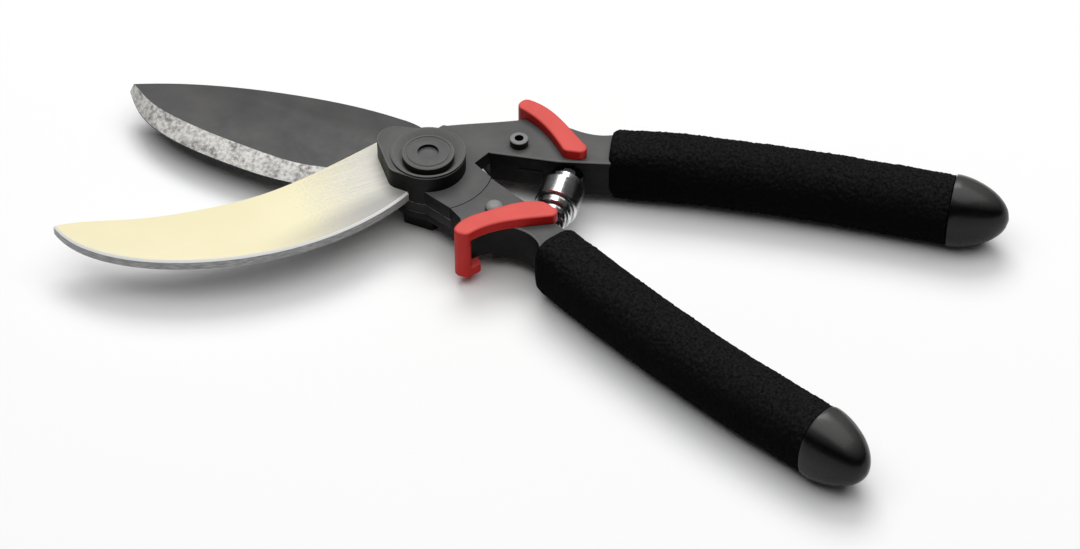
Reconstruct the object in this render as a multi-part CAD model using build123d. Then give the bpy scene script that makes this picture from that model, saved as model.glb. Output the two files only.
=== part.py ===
from build123d import *
from math import cos, radians, sin, sqrt
import os

os.makedirs("parts", exist_ok=True)

# Bypass pruner, 9 inch class, standing open on a flat surface.
# Millimetres, +Z up. The pivot axis is the Z axis and the surface it lies on is z = 0.
# The blades point to -X and the handles to +X. The hook half carries the counter blade
# and the handle on the +Y side. The cutting half carries the blade and the -Y handle.

# ---- levels, bottom to top ----
NUT_TOP = 3.7
LOCK_WASHER_TOP = 4.7
FRICTION_WASHER_TOP = 5.3
TANG_BOTTOM = 5.4
LOWER_PLATE_TOP = 7.4
BLADE_TOP = 10.2
HOOK_BOTTOM = 10.35
HOOK_TOP = 13.0
TANG_TOP = 14.2
RING_SEAT = 15.6
DISH_FLOOR = 16.8
HUB_TOP = 18.5
RING_TOP = 19.1
HEAD_TOP = 19.2
NECK_BOTTOM = 3.8
GRIP_AXIS_Z = 9.3

# ---- pivot ----
SHANK_RADIUS = 4.0
BUSH_CLEARANCE = 0.05
BUSH_RADIUS = 5.5
RING_RADIUS = 9.0
RING_SEAT_RADIUS = 8.4
DISH_TOP_RADIUS = 8.5
DISH_FLOOR_RADIUS = 6.6
HEAD_RADIUS = 6.3
HEAD_CHAMFER = 0.35
HEAD_GROOVE_RADIUS = 5.5
HEAD_GROOVE_WIDTH = 0.35
HEAD_GROOVE_DEPTH = 0.25
HEAD_RECESS_RADIUS = 2.55
HEAD_RECESS_DEPTH = 1.0
RING_ROUNDING = 0.2
NUT_ACROSS_FLATS = 13.0
LOWER_WASHER_RADIUS = 7.4
LOCK_WASHER_RADIUS = 6.4
LOCK_WASHER_SPLIT = 0.7
LAP_RADIUS = 15.5
LAP_GAP = 0.2
LOWER_PLATE_REACH = 16.5
LOWER_PLATE_ANGLE = 7.2
HOOK_HUB_RADIUS = 8.0
BLADE_HUB_RADIUS = 9.0
LOWER_HUB_RADIUS = 9.2
LAP_WAIST = (2.2, -8.3)

# ---- the V between the tangs, and the angles where each tang leaves the lap joint ----
NOTCH_APEX = (9.5, 5.7)
LAP_INNER_ANGLE = 10.2
LAP_OUTER_ANGLE = -45.4
HOOK_LAP_INNER_ANGLE = 44.2
HOOK_LAP_OUTER_ANGLE = 102.0

# ---- forgings ----
FORGING_ROUNDING = 0.6
HUB_ROUNDING = 0.5
NECK_WIDTH = 11.0
HOOK_NECK_START = 30.5
HOOK_NECK_DIRECTION = 25.0
CUTTING_NECK_START = 25.5
CUTTING_NECK_DIRECTION = -20.0
FOOT = (Align.CENTER, Align.CENTER, Align.MIN)

# ---- ground edges ----
HOOK_CHAMFER = 0.5
BEVEL_WIDTHS = [1.0, 3.0, 4.3, 5.0, 5.2, 5.2, 5.0, 4.6, 4.2]
EDGE_LAND = 0.4
CUTTER_REACH = 0.6

# ---- rivets that hold the blades in the handles ----
HOOK_RIVET = (16.5, 16.3)
CUTTING_RIVET = (20.7, -7.3)
RIVET_RADIUS = 1.6
RIVET_HEAD_RADIUS = 2.25
RIVET_HEAD_HEIGHT = 2.0
RIVET_BORE_RADIUS = 1.1
COLLAR_ROUNDING = 0.35
DOME_RADIUS = 2.15
DOME_ROUNDING = 1.4

# ---- red guards ----
GUARD_TOP = 17.0
GUARD_BOTTOM = 2.8
GUARD_LEG = 3.4
GUARD_FOOT = 5.6
GUARD_ROUNDING = 0.5
STRAP_CORNER = 1.7
HOOK_GUARD_END = (11.9, 28.4)
CUTTING_GUARD_END = (16.7, -19.8)

# ---- foam grips and end caps ----
BAR_WIDTH = 8.4
BAR_HEIGHT = 10.0
BAR_SECTIONS = 5
GRIP_WIDTH = 15.0
GRIP_HEIGHT = 18.2
GRIP_START_WIDTH = 12.4
GRIP_START_HEIGHT = 17.0
CAP_WIDTH = 15.2
CAP_HEIGHT = 18.6
CAP_LENGTH = 14.0
CAP_RIM = 1.2
CAP_SOCKET = 9.0
DOME_SECTIONS = 7
DOME_REACH = 6 / 6.3
DOME_POWER = 1.6

# ---- volute spring and its seats ----
SPRING_SEAT_RADIUS = 33.5
SPRING_POCKET_RADIUS = 3.8
SPRING_POCKET_DEPTH = 3.0
SPRING_MIDDLE_RADIUS = 5.4
SPRING_END_RADIUS = 2.7
SPRING_NECK_RADIUS = 3.1
SPRING_NECK_SHARE = 0.36
SPRING_STRIP = 0.7
SPRING_END_GAP = 1.1
STUD_RADIUS = 1.5
STUD_HEIGHT = 1.8
HOOK_SEAT_ANGLE = 27.6
CUTTING_SEAT_ANGLE = -7.8
HOOK_FACE_ANGLE = 10.0
CUTTING_FACE_ANGLE = 10.0

# ---- rubber bumper in the hook handle's tang ----
BUMPER_LENGTH = 6.0
BUMPER_HEIGHT = 4.0
BUMPER_LEVEL = 7.9
BUMPER_DEPTH = 2.4
BUMPER_PROUD = 0.3
BUMPER_PLACE = (21.0, 13.0)
BUMPER_ANGLE = 12.0

# Centrelines of the two handle bars, from the end of the neck to the tip of the cap.
HOOK_GRIP_LINE = [(38.4, 24.4), (58.4, 30.4), (88.0, 36.8), (118.0, 41.7), (131.9, 43.9)]
CUTTING_GRIP_LINE = [(38.8, -12.6), (58.9, -21.4), (88.3, -33.0), (116.8, -42.2), (128.6, -46.8)]


def polar(radius, angle):
    """Point in the plan at a distance and angle from the pivot axis."""
    return (radius * cos(radians(angle)), radius * sin(radians(angle)))


def prism(face, bottom, top):
    """Upright solid on a plan outline, between two levels."""
    return Pos(0, 0, bottom) * extrude(face, top - bottom)


def disc(radius, bottom, top, centre=(0, 0)):
    """Upright cylinder between two levels."""
    return prism(Pos(*centre) * Circle(radius), bottom, top)


def polygon(*points):
    """Plan face with straight sides."""
    return make_face(Polyline(*points, close=True))


def closed(*edges):
    """Plan face bounded by lines and curves that meet end to end."""
    return make_face(list(edges))


def edges_at(solid, level, tolerance=0.01):
    """Edges of a solid that lie flat in one level."""
    return solid.edges().filter_by_position(Axis.Z, level - tolerance, level + tolerance)


def save(solid, name):
    export_step(solid, f"parts/{name}.step")


# ---- blades ----
def wedge(curve, place, top, width, depth):
    """Section of a grinding wedge across a plan curve, on the side to the curve's right."""
    along = curve % place
    corner = (curve @ place) + Vector(0, 0, top)
    plane = Plane(origin=corner, x_dir=along.cross(Vector(0, 0, 1)), z_dir=-along)
    reach = CUTTER_REACH
    low = -depth * (1 + reach / width)
    return plane * polygon((-width, 0), (reach, low), (reach, reach), (-width, reach))


def chamfer_cutter(curve, top, width):
    """Even wedge swept along a curve. It runs on past the curve's first point."""
    section = wedge(curve, 0, top, width, width)
    return sweep(section, path=Pos(0, 0, top) * curve) + extrude(section, width)


def bevel_cutter(curve, top, depth):
    """Wedge that starts narrow at the blade's tip and widens along the edge."""
    last = len(BEVEL_WIDTHS) - 1
    sections = [wedge(curve, index / last, top, width, depth) for index, width in enumerate(BEVEL_WIDTHS)]
    return loft(sections) + extrude(sections[0], BEVEL_WIDTHS[0])


def hook_blade():
    """Crescent counter blade with a hub disc and a tang that runs to the hook rivet."""
    tip = (-72.6, -53.6)
    root_inner = (-15.7, 4.4)
    root_outer = (-0.8, -8.0)
    inner = Spline(tip, (-66.6, -49.4), (-57.0, -44.2), (-44.8, -35.6), (-32.6, -23.8),
                   (-24.6, -12.0), root_inner)
    outer = Spline(tip, (-66.2, -56.4), (-52.2, -56.4), (-34.7, -49.8), (-19.3, -38.7),
                   (-6.1, -21.6), root_outer)
    crescent = closed(inner, Line(root_inner, (-8.0, 6.0)), Line((-8.0, 6.0), root_outer), outer)
    tang = polygon((-6.0, 5.4), (2.5, 16.2), (9.0, 20.8), (14.5, 21.4), (18.9, 18.8), (18.7, 15.0),
                   (16.6, 13.9), (10.0, 12.4), (8.0, 5.4), (6.0, -5.0))
    plate = prism(crescent + tang + Circle(HOOK_HUB_RADIUS), HOOK_BOTTOM, HOOK_TOP)
    plate -= chamfer_cutter(outer, HOOK_TOP, HOOK_CHAMFER)
    plate -= disc(SHANK_RADIUS, HOOK_BOTTOM, HOOK_TOP)
    return plate - disc(RIVET_RADIUS, HOOK_BOTTOM, HOOK_TOP, HOOK_RIVET)


def cutting_blade():
    """Leaf shaped cutting blade with a ground bevel, a hub disc and a tang to its rivet."""
    tip = (-83.2, 1.4)
    heel = (-15.5, 17.0)
    choil = (-23.0, -10.2)
    spine = Spline(tip, (-72.7, 6.3), (-58.0, 11.2), (-42.0, 14.8), (-28.0, 16.7), heel)
    edge_curve = Spline(tip, (-80.2, -1.9), (-76.6, -5.1), (-68.3, -9.2), (-56.4, -11.7), (-45.8, -12.6),
                        (-34.0, -12.6), choil)
    back = Spline(heel, (-9.5, 16.2), (-4.6, 14.4), (5.0, 10.6))
    belly = Spline((-2.0, -9.2), (-11.0, -6.0), (-17.0, -7.0), choil)
    leaf = closed(spine, back, Line((5.0, 10.6), (-2.0, -9.2)), belly, edge_curve)
    outer = polar(LAP_RADIUS, LAP_OUTER_ANGLE)
    tang = polygon(LAP_WAIST, outer, (15.4, -12.6), (20.5, -12.4), (25.0, -9.6),
                   (25.4, -4.2), (16.4, 0.6), (9.0, 4.4), (4.0, 8.4))
    plate = prism(leaf + tang + Circle(BLADE_HUB_RADIUS), LOWER_PLATE_TOP, BLADE_TOP)
    plate -= bevel_cutter(edge_curve, BLADE_TOP, BLADE_TOP - LOWER_PLATE_TOP - EDGE_LAND)
    plate -= disc(BUSH_RADIUS, LOWER_PLATE_TOP, BLADE_TOP)
    return plate - disc(RIVET_RADIUS, LOWER_PLATE_TOP, BLADE_TOP, CUTTING_RIVET)


# ---- handles ----
def bar(line, cap_start):
    """Oval steel bar along a handle's centreline. The foam slides over it and the cap plugs it."""
    end = cap_start + (1 - cap_start) * CAP_SOCKET / CAP_LENGTH
    return oval_loft(line, 0, end, [(BAR_WIDTH, BAR_HEIGHT)] * BAR_SECTIONS)


def neck_corner(line, side):
    """Corner of the neck's end, where the foam begins: side is 1 on the left and -1 on the right."""
    left = Vector(0, 0, 1).cross(line % 0)
    corner = line @ 0 + left * (side * NECK_WIDTH / 2)
    return (corner.X, corner.Y)


def oval_loft(line, first, last, sizes):
    """Solid through upright ovals spaced evenly along a share of a curve."""
    sections = []
    for index, (width, height) in enumerate(sizes):
        place = first + (last - first) * index / (len(sizes) - 1)
        sections.append(oval(line, place, width, height))
    return loft(sections)


def oval(line, place, width, height):
    """Oval across a curve, at a share of its length."""
    along = line % place
    plane = Plane(origin=line @ place, x_dir=along.cross(Vector(0, 0, 1)), z_dir=along)
    return plane * Ellipse(width / 2, height / 2)


def centreline(points):
    return Spline(*[(x, y, GRIP_AXIS_Z) for x, y in points])


def arc_about_pivot(radius, start, end):
    """Arc centred on the pivot axis between two angles."""
    return ThreePointArc(polar(radius, start), polar(radius, (start + end) / 2), polar(radius, end))


def hub_outline():
    """Rounded teardrop: the ring's circle, a nose over the hook's root and a low corner."""
    nose = Pos(-9.6, 1.9) * Circle(4.5)
    low_corner = Pos(-4.6, -5.6) * Circle(3.2)
    return make_hull(Circle(RING_RADIUS).edges() + nose.edges() + low_corner.edges())


def top_plate_outline():
    """Cover plate over the lap joint, with the V notch and the cut that follows the other tang."""
    lap_end = polar(LAP_RADIUS, HOOK_LAP_OUTER_ANGLE)
    right = polar(LAP_RADIUS, LAP_OUTER_ANGLE)
    lip = polar(LAP_RADIUS, LAP_INNER_ANGLE)
    upper = polar(LAP_RADIUS, HOOK_LAP_INNER_ANGLE)
    return closed(
        Line((-8.0, 6.0), lap_end),
        arc_about_pivot(LAP_RADIUS, HOOK_LAP_OUTER_ANGLE, HOOK_LAP_INNER_ANGLE),
        Line(upper, NOTCH_APEX),
        Line(NOTCH_APEX, lip),
        arc_about_pivot(LAP_RADIUS, LAP_INNER_ANGLE, LAP_OUTER_ANGLE),
        Line(right, LAP_WAIST),
        Line(LAP_WAIST, (-8.0, 6.0)),
    )


def hook_tang_outline():
    """Full thickness part of the hook handle, from the lap joint to the end of the neck."""
    radius = LAP_RADIUS
    inner_start = polar(radius, HOOK_LAP_INNER_ANGLE)
    outer_start = polar(radius, HOOK_LAP_OUTER_ANGLE)
    neck_inner = neck_corner(HOOK_LINE, -1)
    neck_outer = neck_corner(HOOK_LINE, 1)
    outer = Spline(neck_outer, (31.6, 27.2), (25.0, 27.1), (19.6, 27.9))
    flare = Spline((16.0, 27.0), (9.6, 22.7), (3.3, 19.1), outer_start)
    return closed(
        arc_about_pivot(radius, HOOK_LAP_OUTER_ANGLE, HOOK_LAP_INNER_ANGLE),
        Line(inner_start, (27.5, 14.5)),
        Line((27.5, 14.5), neck_inner),
        Line(neck_inner, neck_outer),
        outer,
        Line((19.6, 27.9), (16.0, 27.0)),
        flare,
    )


def cutting_tang_outline():
    """Full thickness part of the cutting handle, from the lap joint to the end of the neck."""
    radius = LAP_RADIUS
    inner_start = polar(radius, LAP_INNER_ANGLE)
    outer_start = polar(radius, LAP_OUTER_ANGLE)
    neck_inner = neck_corner(CUTTING_LINE, 1)
    neck_outer = neck_corner(CUTTING_LINE, -1)
    outer = Spline((18.9, -16.7), (22.7, -12.6), (28.4, -10.9), (33.3, -12.2), neck_outer)
    return closed(
        arc_about_pivot(radius, LAP_INNER_ANGLE, LAP_OUTER_ANGLE),
        Line(outer_start, (14.7, -13.3)),
        Line((14.7, -13.3), (16.5, -17.3)),
        Line((16.5, -17.3), (17.9, -17.9)),
        Line((17.9, -17.9), (18.9, -16.7)),
        outer,
        Line(neck_outer, neck_inner),
        Line(neck_inner, (31.0, -3.5)),
        Line((31.0, -3.5), inner_start),
    )


def lower_plate_outline():
    """Lower leaf of the cutting handle, under the blade's hub."""
    inner = polar(LOWER_PLATE_REACH, LOWER_PLATE_ANGLE)
    outer = polar(LAP_RADIUS, LAP_OUTER_ANGLE)
    leaf = polygon(LAP_WAIST, outer, (18.0, -11.0), (20.0, -6.0), inner, NOTCH_APEX, (3.0, 8.8))
    return leaf + Circle(LOWER_HUB_RADIUS)


def seat_plane(seat_angle, face_angle):
    """Point on a handle's inner face at the spring, with local Y along the way into the handle."""
    return Pos(*polar(SPRING_SEAT_RADIUS, seat_angle), GRIP_AXIS_Z) * Rot(0, 0, face_angle)


def spring_pocket(seat):
    """Round pocket in a handle's inner face that takes one end of the spring."""
    return seat * Rot(90, 0, 0) * Cylinder(SPRING_POCKET_RADIUS, 2 * SPRING_POCKET_DEPTH)


def spring_stud(seat):
    """Short pin on a pocket's floor that centres the spring."""
    stud = Rot(90, 0, 0) * Cylinder(STUD_RADIUS, STUD_HEIGHT, align=FOOT)
    return seat * Pos(0, SPRING_POCKET_DEPTH, 0) * stud


def hook_handle():
    """Forging of the hook half: hub, cover plate, tang, neck and bar."""
    tang = hook_tang_outline()
    neck = tang & neck_zone(HOOK_NECK_DIRECTION, HOOK_NECK_START)
    body = soften(prism(tang, TANG_BOTTOM, TANG_TOP))
    body += prism(neck, NECK_BOTTOM, TANG_BOTTOM)
    body += prism(top_plate_outline(), HOOK_BOTTOM, TANG_TOP)
    hub = prism(hub_outline(), HOOK_BOTTOM, HUB_TOP)
    body += fillet(edges_at(hub, HUB_TOP), HUB_ROUNDING)
    body += bar(HOOK_LINE, HOOK_CAP_START)
    body -= disc(LAP_RADIUS + LAP_GAP, 0, HOOK_BOTTOM)
    body -= hook_blade()
    body -= disc(SHANK_RADIUS, 0, HUB_TOP)
    body -= disc(RING_SEAT_RADIUS, RING_SEAT, HUB_TOP)
    body -= disc(RIVET_RADIUS, 0, HUB_TOP, HOOK_RIVET)
    body -= spring_pocket(HOOK_SEAT)
    return body - bumper_block(BUMPER_DEPTH)


def cutting_handle():
    """Forging of the cutting half: lower plate, slotted tang, neck and bar."""
    tang = cutting_tang_outline()
    neck = tang & neck_zone(CUTTING_NECK_DIRECTION, CUTTING_NECK_START)
    body = soften(prism(tang, TANG_BOTTOM, TANG_TOP))
    body += prism(neck, NECK_BOTTOM, TANG_BOTTOM)
    body += bar(CUTTING_LINE, CUTTING_CAP_START)
    body -= disc(LAP_RADIUS + LAP_GAP, BLADE_TOP, RING_TOP)
    body += prism(lower_plate_outline(), TANG_BOTTOM, LOWER_PLATE_TOP)
    body -= cutting_blade()
    body -= disc(BUSH_RADIUS, 0, RING_TOP)
    body -= disc(RIVET_RADIUS, 0, RING_TOP, CUTTING_RIVET)
    return body - spring_pocket(CUTTING_SEAT)


def soften(body):
    """Rounds the long sides of a tang's top face, but not the lap joint's arc or the neck's end."""
    sides = [
        edge
        for edge in edges_at(body, TANG_TOP)
        if edge.length > NECK_WIDTH and edge.geom_type != GeomType.CIRCLE
    ]
    return fillet(sides, FORGING_ROUNDING)


def neck_zone(direction, start):
    """Plan area behind a guard, where the forging gets deeper."""
    return Rot(0, 0, direction) * Pos(start, 0) * Rectangle(40, 60, align=(Align.MIN, Align.CENTER))


def bumper_block(depth):
    """Block on the hook tang's inner face, which runs from just above the tang's bottom."""
    place = Pos(*BUMPER_PLACE, BUMPER_LEVEL) * Rot(0, 0, BUMPER_ANGLE)
    return place * Box(BUMPER_LENGTH, 2 * depth, BUMPER_HEIGHT)


def bumper():
    """Rubber block seated in the hook tang. It stands proud of the steel to cushion closing."""
    place = Pos(*BUMPER_PLACE, BUMPER_LEVEL) * Rot(0, 0, BUMPER_ANGLE)
    depth = BUMPER_DEPTH + BUMPER_PROUD
    block = Box(BUMPER_LENGTH, depth, BUMPER_HEIGHT, align=(Align.CENTER, Align.MAX, Align.CENTER))
    return place * Pos(0, BUMPER_DEPTH, 0) * block


# ---- fasteners ----
def pivot_bolt():
    """Large round head with a groove round its top and a shallow recess, over a plain shank."""
    head = disc(HEAD_RADIUS, DISH_FLOOR, HEAD_TOP)
    head = chamfer(edges_at(head, HEAD_TOP), HEAD_CHAMFER)
    groove = Circle(HEAD_GROOVE_RADIUS) - Circle(HEAD_GROOVE_RADIUS - HEAD_GROOVE_WIDTH)
    head -= prism(groove, HEAD_TOP - HEAD_GROOVE_DEPTH, HEAD_TOP)
    head -= disc(HEAD_RECESS_RADIUS, HEAD_TOP - HEAD_RECESS_DEPTH, HEAD_TOP)
    return head + disc(SHANK_RADIUS, 0, DISH_FLOOR)


def pivot_ring():
    """Dished ring, seated in the hub, that the bolt's head sinks into."""
    ring = disc(RING_RADIUS, HUB_TOP, RING_TOP)
    ring = fillet(edges_at(ring, RING_TOP), RING_ROUNDING)
    ring += disc(RING_SEAT_RADIUS, RING_SEAT, HUB_TOP)
    ring -= Pos(0, 0, DISH_FLOOR) * Cone(DISH_FLOOR_RADIUS, DISH_TOP_RADIUS, RING_TOP - DISH_FLOOR, align=FOOT)
    return ring - disc(SHANK_RADIUS, RING_SEAT, RING_TOP)


def pivot_bush():
    """Bronze sleeve pressed into the cutting half. It turns on the bolt's shank."""
    sleeve = disc(BUSH_RADIUS, TANG_BOTTOM, BLADE_TOP)
    return sleeve - disc(SHANK_RADIUS + BUSH_CLEARANCE, TANG_BOTTOM, BLADE_TOP)


def washer(radius, bottom, top):
    return disc(radius, bottom, top) - disc(SHANK_RADIUS, bottom, top)


def lock_washer():
    """Split spring washer over the nut."""
    ring = washer(LOCK_WASHER_RADIUS, NUT_TOP, LOCK_WASHER_TOP)
    middle = ((SHANK_RADIUS + LOCK_WASHER_RADIUS) / 2, 0)
    cut = Pos(*middle) * Rot(0, 0, 20) * Rectangle(LOCK_WASHER_RADIUS, LOCK_WASHER_SPLIT)
    return ring - prism(cut, NUT_TOP, LOCK_WASHER_TOP)


def pivot_nut():
    """Thin hexagon nut. Its lower face is what the hub lies on."""
    nut = prism(RegularPolygon(NUT_ACROSS_FLATS / 2, 6, major_radius=False), 0, NUT_TOP)
    return nut - disc(SHANK_RADIUS, 0, NUT_TOP)


def hook_rivet():
    """Tubular rivet with a raised collar."""
    top = TANG_TOP + RIVET_HEAD_HEIGHT
    collar = disc(RIVET_HEAD_RADIUS, TANG_TOP, top, HOOK_RIVET)
    rivet = fillet(edges_at(collar, top), COLLAR_ROUNDING)
    rivet += disc(RIVET_RADIUS, TANG_BOTTOM, TANG_TOP, HOOK_RIVET)
    return rivet - disc(RIVET_BORE_RADIUS, TANG_BOTTOM, top, HOOK_RIVET)


def cutting_rivet():
    """Solid rivet with a domed head."""
    top = TANG_TOP + RIVET_HEAD_HEIGHT
    head = disc(DOME_RADIUS, TANG_TOP, top, CUTTING_RIVET)
    head = fillet(edges_at(head, top), DOME_ROUNDING)
    return head + disc(RIVET_RADIUS, TANG_BOTTOM, TANG_TOP, CUTTING_RIVET)


# ---- guards ----
def guard(strap, tang, end, foot):
    """Moulded clip: a strap over the tang, a leg down its outer end and a short foot under it."""
    body = prism(strap, TANG_TOP, GUARD_TOP)
    body = fillet(edges_at(body, GUARD_TOP), GUARD_ROUNDING)
    leg = (strap & Pos(*end) * Circle(GUARD_LEG)) - tang
    body += prism(leg, GUARD_BOTTOM, TANG_TOP)
    return body + prism(foot, GUARD_BOTTOM, TANG_BOTTOM)


def strap_outline(front, back):
    """Plan of a strap between its front and back curves, with rounded corners."""
    front_curve = Spline(*front)
    back_curve = Spline(*back)
    face = closed(
        front_curve,
        Line(front[-1], back[0]),
        back_curve,
        Line(back[-1], front[0]),
    )
    return fillet(face.vertices(), STRAP_CORNER)


def hook_guard():
    strap = strap_outline(
        [(28.4, 15.9), (25.0, 19.0), (19.0, 23.2), (11.1, 26.0)],
        [(12.0, 29.6), (15.8, 29.4), (24.2, 25.6), (36.4, 17.9)],
    )
    foot = strap & Pos(*HOOK_GUARD_END) * Circle(GUARD_FOOT)
    return guard(strap, hook_tang_outline(), HOOK_GUARD_END, foot)


def cutting_guard():
    strap = strap_outline(
        [(15.9, -20.7), (16.7, -15.6), (20.8, -10.4), (26.2, -5.0), (31.4, -2.5)],
        [(38.2, -4.3), (29.2, -10.2), (23.4, -14.9), (19.7, -20.6)],
    )
    foot = strap & Pos(*CUTTING_GUARD_END) * Circle(GUARD_FOOT)
    return guard(strap, cutting_tang_outline(), CUTTING_GUARD_END, foot)


# ---- grips ----
def grip(line, cap_start):
    """Foam sleeve over the bar, a little flattened, thinner where the fingers start."""
    start = (GRIP_START_WIDTH, GRIP_START_HEIGHT)
    full = (GRIP_WIDTH, GRIP_HEIGHT)
    middle = ((start[0] + full[0]) / 2, (start[1] + full[1]) / 2)
    return oval_loft(line, 0, cap_start, [start, middle, full, full, full, full, full]) - bar(line, cap_start)


def end_cap(line, cap_start):
    """Domed plastic cap over the end of the bar."""
    rim = [oval(line, cap_start, CAP_WIDTH, CAP_HEIGHT)]
    for step in range(DOME_SECTIONS):
        reach = DOME_REACH * step / (DOME_SECTIONS - 1)
        scale = sqrt(1 - reach**DOME_POWER)
        place = cap_start + (1 - cap_start) * (CAP_RIM + (CAP_LENGTH - CAP_RIM) * reach) / CAP_LENGTH
        rim.append(oval(line, place, CAP_WIDTH * scale, CAP_HEIGHT * scale))
    return loft(rim) - bar(line, cap_start)


# ---- spring ----
def spring():
    """Double volute spring, as a thin barrel between the two pocket floors."""
    start = (HOOK_SEAT * Pos(0, SPRING_POCKET_DEPTH - SPRING_END_GAP, 0)).position
    end = (CUTTING_SEAT * Pos(0, SPRING_END_GAP - SPRING_POCKET_DEPTH, 0)).position
    axis = end - start
    half = axis.length / 2
    plane = Plane(origin=start, x_dir=Vector(0, 0, 1), z_dir=axis)
    neck = SPRING_NECK_SHARE * half
    outside = Spline((SPRING_END_RADIUS, 0), (SPRING_NECK_RADIUS, neck), (SPRING_MIDDLE_RADIUS, half),
                     (SPRING_NECK_RADIUS, 2 * half - neck), (SPRING_END_RADIUS, 2 * half))
    inside = Pos(-SPRING_STRIP, 0) * outside
    profile = closed(outside, Line(outside @ 1, inside @ 1), inside, Line(inside @ 0, outside @ 0))
    barrel = revolve(Plane.XZ * profile, Axis.Z)
    return plane * barrel


HOOK_SEAT = seat_plane(HOOK_SEAT_ANGLE, HOOK_FACE_ANGLE)
CUTTING_SEAT = seat_plane(CUTTING_SEAT_ANGLE, CUTTING_FACE_ANGLE)
HOOK_LINE = centreline(HOOK_GRIP_LINE)
CUTTING_LINE = centreline(CUTTING_GRIP_LINE)
HOOK_CAP_START = 1 - CAP_LENGTH / HOOK_LINE.length
CUTTING_CAP_START = 1 - CAP_LENGTH / CUTTING_LINE.length

save(hook_blade(), "hook_blade")
save(cutting_blade(), "cutting_blade")
save(hook_handle(), "hook_handle")
save(cutting_handle(), "cutting_handle")
save(pivot_bolt(), "pivot_bolt")
save(pivot_ring(), "pivot_ring")
save(pivot_bush(), "pivot_bush")
save(washer(LOWER_WASHER_RADIUS, LOCK_WASHER_TOP, FRICTION_WASHER_TOP), "friction_washer")
save(lock_washer(), "lock_washer")
save(pivot_nut(), "pivot_nut")
save(hook_rivet(), "hook_rivet")
save(cutting_rivet(), "cutting_rivet")
save(hook_guard(), "hook_guard")
save(cutting_guard(), "cutting_guard")
save(grip(HOOK_LINE, HOOK_CAP_START), "hook_grip")
save(grip(CUTTING_LINE, CUTTING_CAP_START), "cutting_grip")
save(end_cap(HOOK_LINE, HOOK_CAP_START), "hook_end_cap")
save(end_cap(CUTTING_LINE, CUTTING_CAP_START), "cutting_end_cap")
save(spring(), "spring")
save(spring_stud(HOOK_SEAT), "hook_spring_stud")
save(spring_stud(CUTTING_SEAT * Rot(0, 0, 180)), "cutting_spring_stud")
save(bumper(), "bumper")
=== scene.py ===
from math import copysign, cos, pi, radians, sin, sqrt

import bmesh
import bpy
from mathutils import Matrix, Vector, noise


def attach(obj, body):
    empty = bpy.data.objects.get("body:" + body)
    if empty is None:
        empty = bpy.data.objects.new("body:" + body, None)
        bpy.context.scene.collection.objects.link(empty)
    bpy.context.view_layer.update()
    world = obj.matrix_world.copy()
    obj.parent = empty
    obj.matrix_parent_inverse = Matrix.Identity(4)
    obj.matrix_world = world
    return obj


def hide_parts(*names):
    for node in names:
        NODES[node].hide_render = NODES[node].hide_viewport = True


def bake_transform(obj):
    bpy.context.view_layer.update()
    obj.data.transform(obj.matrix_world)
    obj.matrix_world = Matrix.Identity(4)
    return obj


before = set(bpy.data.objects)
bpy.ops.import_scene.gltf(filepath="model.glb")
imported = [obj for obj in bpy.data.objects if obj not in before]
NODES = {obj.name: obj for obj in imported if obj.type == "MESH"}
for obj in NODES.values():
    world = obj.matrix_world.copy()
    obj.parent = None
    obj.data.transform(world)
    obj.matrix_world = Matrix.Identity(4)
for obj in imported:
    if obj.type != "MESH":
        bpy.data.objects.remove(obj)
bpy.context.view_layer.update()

MM = 0.001


# ---- materials: lengths here are in metres, and colours are linear ----
# Upward part of the normal above which a face counts as flat, on the counter blade and on the cutting blade.
COUNTER_FLAT = 0.97
CUTTING_FLAT = 0.985
# The counter blade's grey band of painted shade along its outer edge near the root: the plan direction that
# it faces, in degrees, and where it starts.
RIM_SHADE_DIRECTION = -31
RIM_SHADE_START = -0.0025
# The cutting blade's bare tip starts this far from the foot of the pivot's axis.
BARE_TIP = 0.0825


def material(name, color, roughness, metallic=0.0, **sockets):
    """New material. Returns it with its node tree and its shader."""
    mat = bpy.data.materials.new(name)
    mat.use_nodes = True
    tree = mat.node_tree
    shader = tree.nodes["Principled BSDF"]
    shader.inputs["Base Color"].default_value = (*color, 1)
    shader.inputs["Roughness"].default_value = roughness
    shader.inputs["Metallic"].default_value = metallic
    for key, value in sockets.items():
        shader.inputs[key.replace("_", " ")].default_value = value
    return mat, tree, shader


def object_coordinates(tree, stretch=(1, 1, 1)):
    """Object coordinates, scaled along each axis."""
    source = tree.nodes.new("ShaderNodeTexCoord")
    mapping = tree.nodes.new("ShaderNodeMapping")
    mapping.inputs["Scale"].default_value = stretch
    tree.links.new(source.outputs["Object"], mapping.inputs["Vector"])
    return mapping.outputs["Vector"]


def plan_offset(tree, direction, offset):
    """Distance in plan along a direction, in degrees from +X, measured from an offset in metres."""
    turned = tree.nodes.new("ShaderNodeVectorMath")
    turned.operation = "DOT_PRODUCT"
    angle = radians(direction)
    turned.inputs[1].default_value = (cos(angle), sin(angle), 0)
    tree.links.new(object_coordinates(tree), turned.inputs[0])
    return math_node(tree, "SUBTRACT", turned.outputs["Value"], offset)


def draw_lines(tree, direction, scale, length):
    """Fine noise drawn out into lines that run along a plan direction."""
    source = tree.nodes.new("ShaderNodeTexCoord")
    mapping = tree.nodes.new("ShaderNodeMapping")
    mapping.vector_type = "TEXTURE"
    mapping.inputs["Rotation"].default_value = (0, 0, radians(direction))
    mapping.inputs["Scale"].default_value = (length, 1, 1)
    tree.links.new(source.outputs["Object"], mapping.inputs["Vector"])
    node = tree.nodes.new("ShaderNodeTexNoise")
    node.inputs["Scale"].default_value = scale
    node.inputs["Detail"].default_value = 3
    tree.links.new(mapping.outputs["Vector"], node.inputs["Vector"])
    return node.outputs["Fac"]


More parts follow.
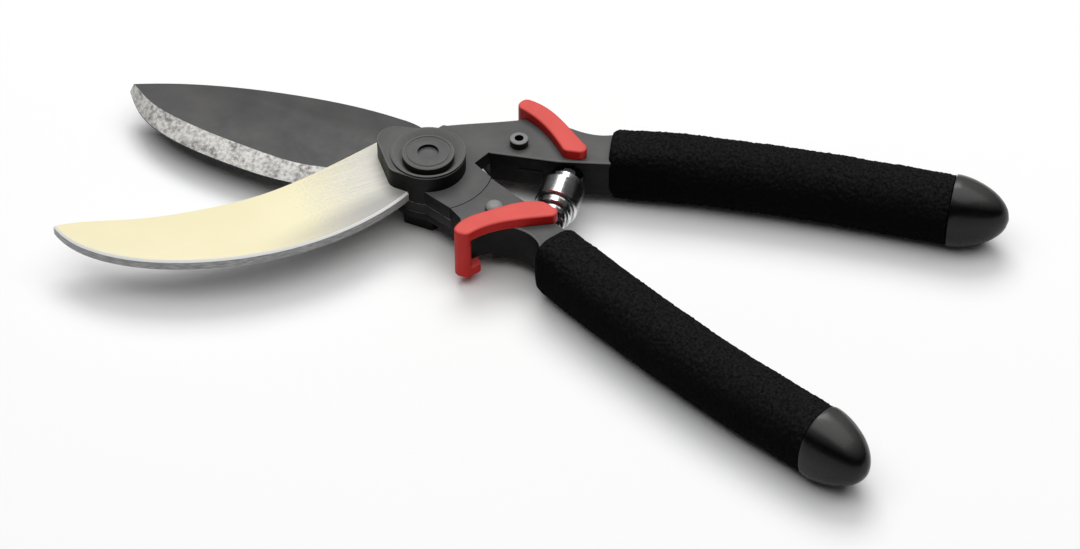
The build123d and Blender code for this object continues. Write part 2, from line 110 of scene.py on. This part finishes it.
def noise_value(tree, scale, detail=3.0, rough=0.5, stretch=(1, 1, 1)):
    """Noise with features about 1 / scale metres across."""
    node = tree.nodes.new("ShaderNodeTexNoise")
    node.inputs["Scale"].default_value = scale
    node.inputs["Detail"].default_value = detail
    node.inputs["Roughness"].default_value = rough
    tree.links.new(object_coordinates(tree, stretch), node.inputs["Vector"])
    return node.outputs["Fac"]


def ramp(tree, value, stops):
    """Colour ramp over a value. Each stop is a position and a colour or grey level."""
    node = tree.nodes.new("ShaderNodeValToRGB")
    node.color_ramp.elements[0].position = stops[0][0]
    node.color_ramp.elements[1].position = stops[-1][0]
    for position, _ in stops[1:-1]:
        node.color_ramp.elements.new(position)
    for element, (_, level) in zip(node.color_ramp.elements, stops):
        element.color = (*level, 1) if isinstance(level, tuple) else (level, level, level, 1)
    tree.links.new(value, node.inputs["Fac"])
    return node.outputs["Color"]


def mix(tree, factor, first, second):
    """Mixes two colours by a factor."""
    node = tree.nodes.new("ShaderNodeMix")
    node.data_type = "RGBA"
    tree.links.new(factor, node.inputs["Factor"])
    for index, item in ((6, first), (7, second)):
        if isinstance(item, tuple):
            node.inputs[index].default_value = (*item, 1)
        else:
            tree.links.new(item, node.inputs[index])
    return node.outputs[2]


def math_node(tree, operation, first, second):
    """Math node on two numbers or sockets."""
    node = tree.nodes.new("ShaderNodeMath")
    node.operation = operation
    for index, item in enumerate((first, second)):
        if isinstance(item, (int, float)):
            node.inputs[index].default_value = item
        else:
            tree.links.new(item, node.inputs[index])
    return node.outputs[0]


def bump(tree, shader, height, strength, distance):
    """Adds a bump to the shader, on top of any bump that it has."""
    node = tree.nodes.new("ShaderNodeBump")
    node.inputs["Strength"].default_value = strength
    node.inputs["Distance"].default_value = distance
    tree.links.new(height, node.inputs["Height"])
    if shader.inputs["Normal"].is_linked:
        tree.links.new(shader.inputs["Normal"].links[0].from_socket, node.inputs["Normal"])
    tree.links.new(node.outputs["Normal"], shader.inputs["Normal"])


def slope_mask(tree, low, high):
    """White where the upward part of the surface's normal lies between two values."""
    geometry = tree.nodes.new("ShaderNodeNewGeometry")
    split = tree.nodes.new("ShaderNodeSeparateXYZ")
    tree.links.new(geometry.outputs["True Normal"], split.inputs[0])
    above = math_node(tree, "GREATER_THAN", split.outputs["Z"], low)
    below = math_node(tree, "LESS_THAN", split.outputs["Z"], high)
    return math_node(tree, "MULTIPLY", above, below)


def upward(tree, low=0.15, high=0.6):
    """Goes smoothly from black on walls and undersides to white on faces that look up."""
    geometry = tree.nodes.new("ShaderNodeNewGeometry")
    split = tree.nodes.new("ShaderNodeSeparateXYZ")
    tree.links.new(geometry.outputs["Normal"], split.inputs[0])
    node = tree.nodes.new("ShaderNodeMapRange")
    node.interpolation_type = "SMOOTHSTEP"
    node.inputs["From Min"].default_value = low
    node.inputs["From Max"].default_value = high
    tree.links.new(split.outputs["Z"], node.inputs["Value"])
    return node.outputs["Result"]


def coated_steel(name, level, wall_shade, roughness, gloss, slope_highlight):
    """Satin black coating over steel: greyer mottled tops, walls and undersides painted near black as
    painted shade, and rounded edges and slopes painted lighter as a painted highlight.
    """
    mat, tree, shader = material(name, (level, level, level), roughness, 0.0, Specular_IOR_Level=gloss)
    blotch = noise_value(tree, 90, 4)
    grain = noise_value(tree, 2600, 2, 0.6)
    dark = (level * 0.85, level * 0.85, level * 0.85)
    light = (level * 1.15, level * 1.14, level * 1.12)
    mottled_tops = ramp(tree, blotch, [(0.3, dark), (0.72, light)])
    # Walls and undersides: near black, a painted shade.
    black = ramp(tree, blotch, [(0.3, wall_shade * 0.7), (0.72, wall_shade * 1.3)])
    coat = mix(tree, upward(tree), black, mottled_tops)
    # Rounded edges and sloped faces: a lighter grey, a painted highlight.
    slopes = math_node(tree, "SUBTRACT", upward(tree, 0.25, 0.45), upward(tree, 0.84, 0.97))
    tree.links.new(mix(tree, slopes, coat, (slope_highlight, slope_highlight, slope_highlight * 0.97)), shader.inputs["Base Color"])
    rough = ramp(tree, noise_value(tree, 400, 4), [(0.3, roughness - 0.05), (0.75, roughness + 0.09)])
    tree.links.new(rough, shader.inputs["Roughness"])
    bump(tree, shader, grain, 0.35, 0.00012)
    bump(tree, shader, noise_value(tree, 320, 3), 0.2, 0.0002)
    return mat


def distance_from_pivot(tree, near, far):
    """Goes from 0 at one distance from the foot of the pivot's axis to 1 at another."""
    length = tree.nodes.new("ShaderNodeVectorMath")
    length.operation = "LENGTH"
    tree.links.new(object_coordinates(tree), length.inputs[0])
    node = tree.nodes.new("ShaderNodeMapRange")
    node.inputs["From Min"].default_value = near
    node.inputs["From Max"].default_value = far
    tree.links.new(length.outputs["Value"], node.inputs["Value"])
    return node.outputs["Result"]


def counter_blade_steel():
    """Polished steel with a warm tint and a brushed root; the walls, the underside and a band along the
    outer edge near the root are painted grey as painted shade, and the chamfer and rounded edges near white
    as a painted highlight.
    """
    mat, tree, shader = material("warm_polished_steel", (0.8, 0.77, 0.6), 0.45, 0.0, Specular_IOR_Level=0.3)
    lines = draw_lines(tree, 50, 1500, 14)
    cloud = noise_value(tree, 60, 3)
    warm = ramp(tree, cloud, [(0.3, (0.86, 0.785, 0.51)), (0.75, (0.89, 0.825, 0.55))])
    brushed = ramp(tree, lines, [(0.3, (0.6, 0.585, 0.53)), (0.7, (0.72, 0.7, 0.63))])
    speckle = math_node(tree, "MULTIPLY", noise_value(tree, 1600, 2), 0.5)
    root = math_node(tree, "ADD", distance_from_pivot(tree, 0.012, 0.052), speckle)
    face = mix(tree, ramp(tree, root, [(0.45, 0.0), (0.85, 1.0)]), brushed, warm)
    # Grey band along the outer edge, fading out away from the root: a painted shade.
    past_rim_shade_start = math_node(tree, "MULTIPLY", plan_offset(tree, RIM_SHADE_DIRECTION, RIM_SHADE_START), 120)
    rim = ramp(tree, past_rim_shade_start, [(0.0, 0.0), (0.6, 1.0)])
    near_root = ramp(tree, distance_from_pivot(tree, 0.05, 0.02), [(0.0, 0.0), (1.0, 1.0)])
    face = mix(tree, math_node(tree, "MULTIPLY", rim, near_root), face, (0.4, 0.39, 0.37))
    # Walls and underside: grey instead of the face's cream, a painted shade, with fine vertical streaks on
    # the walls and brushed lines below.
    wall_shade = ramp(tree, noise_value(tree, 1100, 3, 0.6, (0.4, 0.4, 2.5)), [(0.3, 0.2), (0.7, 0.46)])
    grey = ramp(tree, lines, [(0.3, 0.34), (0.7, 0.44)])
    below = mix(tree, slope_mask(tree, -1.1, -0.5), wall_shade, grey)
    # Chamfer and rounded edges: near white, a painted highlight.
    edge_highlight = mix(tree, slope_mask(tree, 0.4, COUNTER_FLAT), below, (0.95, 0.95, 0.94))
    flat = slope_mask(tree, COUNTER_FLAT, 1.1)
    tree.links.new(mix(tree, flat, edge_highlight, face), shader.inputs["Base Color"])
    rough = ramp(tree, lines, [(0.3, 0.4), (0.7, 0.52)])
    tree.links.new(rough, shader.inputs["Roughness"])
    bump(tree, shader, lines, 0.12, 0.00004)
    bump(tree, shader, noise_value(tree, 1800, 2), 0.1, 0.00005)
    return mat


def cutting_blade_steel():
    """Dark satin coating with a bare ground bevel that is pitted and mottled; the coating's walls and
    undersides are painted near black as painted shade.
    """
    mat, tree, shader = material("dark_blade_steel", (0.07, 0.07, 0.07), 0.45, 0.0, Specular_IOR_Level=0.2)
    past_tip = math_node(tree, "GREATER_THAN", distance_from_pivot(tree, 0.0, 0.1), BARE_TIP / 0.1)
    bare_tip = math_node(tree, "MULTIPLY", past_tip, slope_mask(tree, -0.5, CUTTING_FLAT))
    ground = math_node(tree, "MAXIMUM", slope_mask(tree, 0.3, CUTTING_FLAT), bare_tip)
    pits = tree.nodes.new("ShaderNodeTexVoronoi")
    pits.inputs["Scale"].default_value = 900
    tree.links.new(object_coordinates(tree), pits.inputs["Vector"])
    mottle = noise_value(tree, 1000, 5, 0.6)
    patches = math_node(tree, "ADD", mottle, math_node(tree, "MULTIPLY", noise_value(tree, 300, 3), 0.6))
    silver = ramp(tree, patches, [
        (0.64, (0.25, 0.245, 0.235)), (0.72, (0.41, 0.4, 0.38)),
        (0.8, (0.53, 0.52, 0.49)), (0.92, (0.7, 0.69, 0.665)),
    ])
    coat = ramp(
        tree, noise_value(tree, 120, 4), [(0.3, (0.062, 0.062, 0.063)), (0.75, (0.088, 0.086, 0.084))]
    )
    # Walls and undersides of the coating: near black, a painted shade.
    dark = mix(tree, upward(tree), (0.01, 0.01, 0.01), coat)
    tree.links.new(mix(tree, ground, dark, silver), shader.inputs["Base Color"])
    tree.links.new(math_node(tree, "MULTIPLY", ground, 0.2), shader.inputs["Metallic"])
    rough = ramp(tree, noise_value(tree, 500, 4), [(0.3, 0.38), (0.75, 0.52)])
    tree.links.new(rough, shader.inputs["Roughness"])
    holes = math_node(tree, "MULTIPLY", pits.outputs["Distance"], ground)
    bump(tree, shader, holes, 0.35, 0.0002)
    bump(tree, shader, noise_value(tree, 2600, 2), 0.25, 0.0001)
    return mat


def moulded_plastic(name, color, wall_shade, roughness, gloss, low=0.15, high=0.6):
    """Moulded plastic: faint flow marks and small changes of gloss; walls and undersides are painted in a
    deeper colour as painted shade.
    """
    mat, tree, shader = material(name, color, roughness, 0.0, Specular_IOR_Level=gloss)
    darker = tuple(c * 0.92 for c in color)
    lighter = tuple(min(1, c * 1.06) for c in color)
    flow = ramp(tree, noise_value(tree, 130, 3), [(0.3, darker), (0.7, lighter)])
    # Walls and undersides take the darker colour, a painted shade.
    tree.links.new(mix(tree, upward(tree, low, high), wall_shade, flow), shader.inputs["Base Color"])
    rough = ramp(tree, noise_value(tree, 350, 3), [(0.3, roughness - 0.05), (0.7, roughness + 0.07)])
    tree.links.new(rough, shader.inputs["Roughness"])
    bump(tree, shader, noise_value(tree, 1500, 2), 0.12, 0.0001)
    return mat


def foam_material():
    """Black open foam: tiny cells and no gloss, with a faint grey fuzz painted only on faces that look up as
    painted light from above, and the sides a painted shade of near black.
    """
    mat, tree, shader = material("black_foam", (0.004, 0.004, 0.0045), 0.95, 0.0, Specular_IOR_Level=0.06)
    cells = noise_value(tree, 1500, 4, 0.7)
    top_lit_fuzz = ramp(tree, cells, [(0.35, (0.0025, 0.0025, 0.0028)), (0.7, (0.022, 0.021, 0.0225))])
    # Grey fuzz on top as painted light, near black on the sides as painted shade.
    color = mix(tree, upward(tree, 0.0, 0.9), (0.0015, 0.0015, 0.0018), top_lit_fuzz)
    tree.links.new(color, shader.inputs["Base Color"])
    bump(tree, shader, cells, 0.8, 0.0004)
    bump(tree, shader, noise_value(tree, 3600, 3, 0.7), 0.6, 0.0002)
    return mat


def plain_metal(name, color, roughness, scale=900):
    """Bare metal with fine turning or plating marks."""
    mat, tree, shader = material(name, color, roughness, 1.0)
    marks = noise_value(tree, scale, 3, 0.6)
    darker = tuple(c * 0.82 for c in color)
    tree.links.new(ramp(tree, marks, [(0.3, darker), (0.7, color)]), shader.inputs["Base Color"])
    tree.links.new(
        ramp(tree, noise_value(tree, scale / 3, 3), [(0.3, roughness * 0.8), (0.7, roughness * 1.3)]),
        shader.inputs["Roughness"],
    )
    bump(tree, shader, marks, 0.05, 0.00003)
    return mat


# Coated steel: the third number is the near-black painted shade on walls, the last the lighter painted
# highlight on edges and slopes.
FORGING = coated_steel("black_forging", 0.102, 0.003, 0.5, 0.16, 0.2)
FASTENER = coated_steel("black_fastener", 0.105, 0.003, 0.46, 0.18, 0.2)
# Rivets: tops painted a lighter grey than the other fasteners, a painted highlight.
RIVET = coated_steel("highlighted_rivet", 0.22, 0.003, 0.42, 0.3, 0.26)
HOOK_STEEL = counter_blade_steel()
BLADE_STEEL = cutting_blade_steel()
RED = moulded_plastic("red_plastic", (0.7, 0.088, 0.074), (0.5, 0.012, 0.009), 0.45, 0.2)
# Caps: faces that look up are painted a lighter grey as a painted highlight, and the sides near black as
# painted shade.
CAP = moulded_plastic("cap_plastic", (0.055, 0.054, 0.053), (0.0015, 0.0015, 0.0016), 0.26, 0.24, 0.55, 0.97)
FOAM = foam_material()
CHROME = plain_metal("spring_chrome", (0.9, 0.9, 0.91), 0.2)
STEEL = plain_metal("plain_steel", (0.5, 0.5, 0.5), 0.35)
BRONZE = plain_metal("bearing_bronze", (0.6, 0.42, 0.2), 0.35)
RUBBER = moulded_plastic("bumper_rubber", (0.02, 0.02, 0.02), (0.01, 0.01, 0.01), 0.7, 0.2)


# ---- pieces: lengths here and in the next two parts are in millimetres ----
def new_piece(name, mesh, mat):
    """Piece with one material."""
    obj = bpy.data.objects.new(name, mesh)
    bpy.context.scene.collection.objects.link(obj)
    mesh.materials.clear()
    mesh.materials.append(mat)
    return obj


def apply_modifiers(obj):
    """Bakes an object's modifiers into its mesh."""
    graph = bpy.context.evaluated_depsgraph_get()
    mesh = bpy.data.meshes.new_from_object(obj.evaluated_get(graph))
    obj.modifiers.clear()
    obj.data = mesh


def smooth(obj, angle=30):
    """Smooth shading, with creases kept at sharper angles."""
    obj.data.shade_smooth()
    obj.data.set_sharp_from_angle(angle=radians(angle))


def copy_of(node):
    """A welded copy of a CAD node's mesh with its flat faces merged."""
    mesh = NODES[node].data.copy()
    work = bmesh.new()
    work.from_mesh(mesh)
    bmesh.ops.remove_doubles(work, verts=work.verts, dist=1e-6)
    bmesh.ops.dissolve_limit(
        work, angle_limit=radians(0.4), verts=work.verts, edges=work.edges, use_dissolve_boundaries=False
    )
    work.to_mesh(mesh)
    work.free()
    return mesh


def edged(node, name, mat, body, width):
    """Replaces a CAD node by a copy whose sharp edges are rounded to a real, visible radius."""
    obj = new_piece(name, copy_of(node), mat)
    bevel = obj.modifiers.new("bevel", "BEVEL")
    bevel.width = width * MM
    bevel.segments = 3
    bevel.limit_method = "ANGLE"
    bevel.angle_limit = radians(24)
    bevel.use_clamp_overlap = True
    apply_modifiers(obj)
    smooth(obj, 34)
    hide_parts(node)
    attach(obj, body)
    return obj


def moulded(node, name, mat, body, voxel, passes):
    """Replaces a CAD node by a copy with the soft edges of a moulded piece."""
    obj = new_piece(name, NODES[node].data.copy(), mat)
    remesh = obj.modifiers.new("remesh", "REMESH")
    remesh.mode = "VOXEL"
    remesh.voxel_size = voxel * MM
    soft = obj.modifiers.new("soft", "SMOOTH")
    soft.factor = 0.5
    soft.iterations = passes
    apply_modifiers(obj)
    obj.data.shade_smooth()
    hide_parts(node)
    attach(obj, body)
    return obj


SPAN_STEPS = 40


def curve_samples(points, count):
    """Even samples of a smooth curve through points in plan, with their directions."""
    data = [Vector((x, y, 0)) for x, y in points]
    ends = [data[0] * 2 - data[1]] + data + [data[-1] * 2 - data[-2]]
    fine = []
    for index in range(1, len(ends) - 2):
        p0, p1, p2, p3 = ends[index - 1:index + 3]
        for step in range(SPAN_STEPS):
            t = step / SPAN_STEPS
            fine.append(
                (p1 * 2 + (p2 - p0) * t + (p0 * 2 - p1 * 5 + p2 * 4 - p3) * t**2
                 + (p1 * 3 - p0 - p2 * 3 + p3) * t**3) / 2
            )
    fine.append(data[-1])
    lengths = [0.0]
    for first, second in zip(fine, fine[1:]):
        lengths.append(lengths[-1] + (second - first).length)
    result = []
    place = 0
    for step in range(count):
        wanted = lengths[-1] * step / (count - 1)
        while place < len(fine) - 2 and lengths[place + 1] < wanted:
            place += 1
        share = (wanted - lengths[place]) / (lengths[place + 1] - lengths[place])
        point = fine[place].lerp(fine[place + 1], share)
        result.append((point, (fine[place + 1] - fine[place]).normalized()))
    return result, lengths[-1]


def fuller(value, square):
    """Cosine or sine with its magnitude raised to a power below one, which squares an oval's shoulders."""
    return copysign(abs(value) ** (2 / square), value)


def skin(name, work, loops):
    """Mesh of a closed skin through loops of vertices, with a face over each end."""
    for first, second in zip(loops, loops[1:]):
        for index, corner in enumerate(first):
            after = (index + 1) % len(first)
            work.faces.new((corner, first[after], second[after], second[index]))
    work.faces.new(list(reversed(loops[0])))
    work.faces.new(loops[-1])
    bmesh.ops.recalc_face_normals(work, faces=work.faces)
    mesh = bpy.data.meshes.new(name)
    work.to_mesh(mesh)
    work.free()
    return mesh


def sleeve(name, rings, mat, body, around, ripple=None):
    """Closed skin through oval rings.

    Each ring has a centre, a direction, half a width, half a height and a squareness.
    """
    work = bmesh.new()
    loops = []
    for centre, along, half_width, half_height, square in rings:
        side = along.cross(Vector((0, 0, 1)))
        loop = []
        for step in range(around):
            turn = 2 * pi * step / around
            across = side * fuller(cos(turn), square) * half_width
            outward = across + Vector((0, 0, 1)) * fuller(sin(turn), square) * half_height
            point = centre + outward
            if ripple:
                point += outward.normalized() * ripple(point)
            loop.append(work.verts.new(point * MM))
        loops.append(loop)
    obj = new_piece(name, skin(name, work, loops), mat)
    smooth(obj, 50)
    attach(obj, body)
    return obj


# ---- foam grips and their caps ----
AXIS_LEVEL = 9.3
AXIS_RISE = Vector((0, 0, AXIS_LEVEL))
# Centrelines in plan, from the neck's end to the cap's point.
HOOK_LINE = [(38.4, 24.4), (58.4, 30.4), (88.0, 36.8), (118.0, 41.7), (131.9, 43.9)]
CUTTING_LINE = [(38.8, -12.6), (58.9, -21.4), (88.3, -33.0), (116.8, -42.2), (128.6, -46.8)]
# Half a width and half a height of the foam at the neck, of the foam's body and of the cap.
START_HALF = (6.3, 8.2)
BODY_HALF = (7.35, 9.0)
CAP_HALF = (7.5, 9.2)
# The foam starts this far before the neck's end, rounds over in SHOULDER, and loses SHOULDER_PULL there.
OVERLAP = 1.2
SHOULDER = 2.2
SHOULDER_PULL = (0.9, 2.0)
# Share of the foam's length in which it swells to its body, and how square its section is before and after.
SWELL_SHARE = 0.3
START_SQUARENESS = 3.4
BODY_SQUARENESS = 2.2
# Slow dents, cells and small cells: how many to a millimetre and how deep. The whole skin sinks a little.
FOAM_WAVES = ((0.16, 0.16), (1.1, 0.17), (2.3, 0.2))
FOAM_SINK = 0.18
FOAM_RINGS, FOAM_AROUND = 340, 150
# The foam runs this far into the cap.
FOAM_TUCK = 0.15
# The cap has a shallow groove against the foam, a short straight rim and a dome that comes to a soft point.
CAP_LENGTH = 14.0
CAP_GROOVE = 0.5
CAP_GROOVE_SHARE = 0.045
CAP_RIM = 1.2
DOME_POWER = 1.6
POINT_SHARE = 0.04
CAP_RINGS, CAP_AROUND = 260, 96


def foam_surface(point):
    """How far the foam's skin stands out at a point."""
    dents, cells, small_cells = (noise.noise(point * rate) * depth for rate, depth in FOAM_WAVES)
    return dents + (cells + small_cells) - FOAM_SINK


def foam_grip(name, node, line, body):
    """Foam sleeve, rounded over at the finger end, that covers the neck's end and swells along the bar."""
    first = Vector((*line[0], 0))
    back = (first - Vector((*line[1], 0))).normalized() * OVERLAP
    started = [(first.x + back.x, first.y + back.y)] + line[1:]
    samples, length = curve_samples(started, FOAM_RINGS)
    rings = []
    for index, (point, along) in enumerate(samples):
        reach = length * index / (len(samples) - 1)
        if reach > length - CAP_LENGTH + FOAM_TUCK:
            break
        swell = min(1, reach / (SWELL_SHARE * (length - CAP_LENGTH)))
        swell = swell * swell * (3 - 2 * swell)
        half = [start + (full - start) * swell for start, full in zip(START_HALF, BODY_HALF)]
        if reach < SHOULDER:
            pull = 1 - sqrt(max(0.0, 1 - (1 - reach / SHOULDER) ** 2))
            half = [size - loss * pull for size, loss in zip(half, SHOULDER_PULL)]
        square = START_SQUARENESS - (START_SQUARENESS - BODY_SQUARENESS) * swell
        rings.append((point + AXIS_RISE, along, *half, square))
    obj = sleeve(name, rings, FOAM, body, FOAM_AROUND, foam_surface)
    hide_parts(node)
    return obj


def end_cap(name, node, line, body):
    """Moulded cap over the foam's end."""
    samples, length = curve_samples(line, CAP_RINGS)
    start = length - CAP_LENGTH
    rings = []
    for index, (point, along) in enumerate(samples):
        reach = length * index / (len(samples) - 1) - start
        if reach < 0:
            continue
        share = max(0.0, reach - CAP_RIM) / (CAP_LENGTH - CAP_RIM)
        scale = (1 - share**DOME_POWER) ** 0.5 if share < 1 else 0.0
        if reach < CAP_GROOVE:
            scale -= CAP_GROOVE_SHARE * (1 - reach / CAP_GROOVE) ** 2
        scale = max(scale, POINT_SHARE)
        rings.append(
            (point + AXIS_RISE, along, CAP_HALF[0] * scale, CAP_HALF[1] * scale, BODY_SQUARENESS)
        )
    obj = sleeve(name, rings, CAP, body, CAP_AROUND)
    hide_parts(node)
    return obj


# ---- volute spring ----
# Ends of its axis at rest: just short of the hook handle's pocket, and at the mouth of the cutting handle's.
SPRING_FIRST = Vector((33.0, -3.2, AXIS_LEVEL))
SPRING_LAST = Vector((29.9, 14.4, AXIS_LEVEL))
SPRING_TURNS = 5.0
SPRING_STEPS = 480
START_TURN = 0.6
HALF_STRIP = 3.1
STRIP_THICKNESS = 0.7
# Corners of the strip's section: shares of its half width and of its thickness.
STRIP_SECTION = ((-1, 0), (-0.94, 0.5), (0.94, 0.5), (1, 0), (0.94, -0.5), (-0.94, -0.5))
# The narrowest turn's radius, how much wider the widest turn is, and where along the spring that one lies.
NARROW_RADIUS = 2.3
WIDENING = 3.1
WIDEST = 0.72


def volute_spring():
    """One strip wound into a double volute: narrow turns at each end and the widest turn between them."""
    axis = (SPRING_LAST - SPRING_FIRST).normalized()
    side = axis.cross(Vector((0, 0, 1)))
    travel = (SPRING_LAST - SPRING_FIRST).length - 2 * HALF_STRIP
    work = bmesh.new()
    loops = []
    for step in range(SPRING_STEPS + 1):
        share = step / SPRING_STEPS
        spread = 1 - abs(share - WIDEST) / (WIDEST if share < WIDEST else 1 - WIDEST)
        radius = NARROW_RADIUS + WIDENING * spread
        turn = 2 * pi * SPRING_TURNS * share + START_TURN
        centre = SPRING_FIRST + axis * (HALF_STRIP + travel * share)
        outward = side * cos(turn) + Vector((0, 0, 1)) * sin(turn)
        loop = []
        for across, out in STRIP_SECTION:
            point = centre + axis * across * HALF_STRIP + outward * (radius + out * STRIP_THICKNESS)
            loop.append(work.verts.new(point * MM))
        loops.append(loop)
    obj = new_piece("volute_spring", skin("volute_spring", work, loops), CHROME)
    smooth(obj, 35)
    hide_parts("spring")
    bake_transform(obj)
    return obj


# ---- camera, floor and light: lengths here are in metres ----
def look_at(obj, target):
    """Turns a camera or light to face a point."""
    direction = Vector(target) - obj.location
    obj.rotation_euler = direction.to_track_quat("-Z", "Y").to_euler()


def add_camera():
    """Camera at 24 degrees round from the -Y side and 44 degrees up."""
    azimuth, elevation, distance = radians(24), radians(44), 0.760
    target = Vector((33.596, -9.685, 0)) * MM
    data = bpy.data.cameras.new("camera")
    data.lens = 106.4
    data.sensor_width = 36
    data.clip_start = 0.01
    camera = bpy.data.objects.new("camera", data)
    bpy.context.scene.collection.objects.link(camera)
    offset = Vector((sin(azimuth) * cos(elevation), -cos(azimuth) * cos(elevation), sin(elevation)))
    camera.location = target + offset * distance
    look_at(camera, target)
    bpy.context.scene.camera = camera


def add_floor():
    """Plain white floor, 6 metres square."""
    corners = [(-3, -3, 0), (3, -3, 0), (3, 3, 0), (-3, 3, 0)]
    mesh = bpy.data.meshes.new("floor")
    mesh.from_pydata(corners, [], [(0, 1, 2, 3)])
    mat, _, _ = material("floor_white", (0.93, 0.935, 0.93), 0.9)
    mesh.materials.append(mat)
    floor = bpy.data.objects.new("floor", mesh)
    bpy.context.scene.collection.objects.link(floor)


def add_area(name, location, size, power, target=(0.03, 0, 0)):
    """Soft box that faces a point on the floor. Its power is in watts."""
    data = bpy.data.lights.new(name, "AREA")
    data.shape = "RECTANGLE"
    data.size, data.size_y = size
    data.energy = power
    light = bpy.data.objects.new(name, data)
    bpy.context.scene.collection.objects.link(light)
    light.location = location
    look_at(light, target)


def add_light():
    """A large soft box overhead, a smaller one behind and to the left, and a faint surround."""
    add_area("overhead", (0.05, 0.1, 1.5), (2.4, 2.2), 29)
    add_area("key", (-0.42, 0.93, 1.5), (1.1, 0.8), 12)
    world = bpy.data.worlds.new("surround")
    world.use_nodes = True
    background = world.node_tree.nodes["Background"]
    background.inputs["Color"].default_value = (1, 1, 1, 1)
    background.inputs["Strength"].default_value = 0.05
    bpy.context.scene.world = world
    bpy.context.scene.view_settings.view_transform = "Standard"


add_camera()
add_floor()
add_light()

for node_name, mat in {
    "hook_blade": HOOK_STEEL, "cutting_blade": BLADE_STEEL, "hook_handle": FORGING,
    "cutting_handle": FORGING, "pivot_bolt": FASTENER, "pivot_ring": FASTENER, "pivot_bush": BRONZE,
    "friction_washer": STEEL, "lock_washer": FASTENER, "pivot_nut": FASTENER, "hook_rivet": RIVET,
    "cutting_rivet": RIVET, "hook_guard": RED, "cutting_guard": RED, "hook_grip": FOAM,
    "cutting_grip": FOAM, "hook_end_cap": CAP, "cutting_end_cap": CAP, "spring": CHROME,
    "hook_spring_stud": STEEL, "cutting_spring_stud": STEEL, "bumper": RUBBER,
}.items():
    NODES[node_name].data.materials.clear()
    NODES[node_name].data.materials.append(mat)

edged("hook_blade", "counter_blade", HOOK_STEEL, "hook_half", 0.12)
edged("cutting_blade", "bypass_blade", BLADE_STEEL, "cutting_half", 0.1)
edged("hook_handle", "hook_forging", FORGING, "hook_half", 0.14)
edged("cutting_handle", "cutting_forging", FORGING, "cutting_half", 0.14)
edged("pivot_bolt", "bolt", FASTENER, "hook_half", 0.1)
edged("pivot_ring", "ring", FASTENER, "hook_half", 0.1)
edged("pivot_nut", "nut", FASTENER, "hook_half", 0.25)
moulded("hook_guard", "hook_guard_moulding", RED, "hook_half", 0.2, 5)
moulded("cutting_guard", "cutting_guard_moulding", RED, "cutting_half", 0.2, 5)
foam_grip("hook_foam", "hook_grip", HOOK_LINE, "hook_half")
foam_grip("cutting_foam", "cutting_grip", CUTTING_LINE, "cutting_half")
end_cap("hook_cap", "hook_end_cap", HOOK_LINE, "hook_half")
end_cap("cutting_cap", "cutting_end_cap", CUTTING_LINE, "cutting_half")
volute_spring()
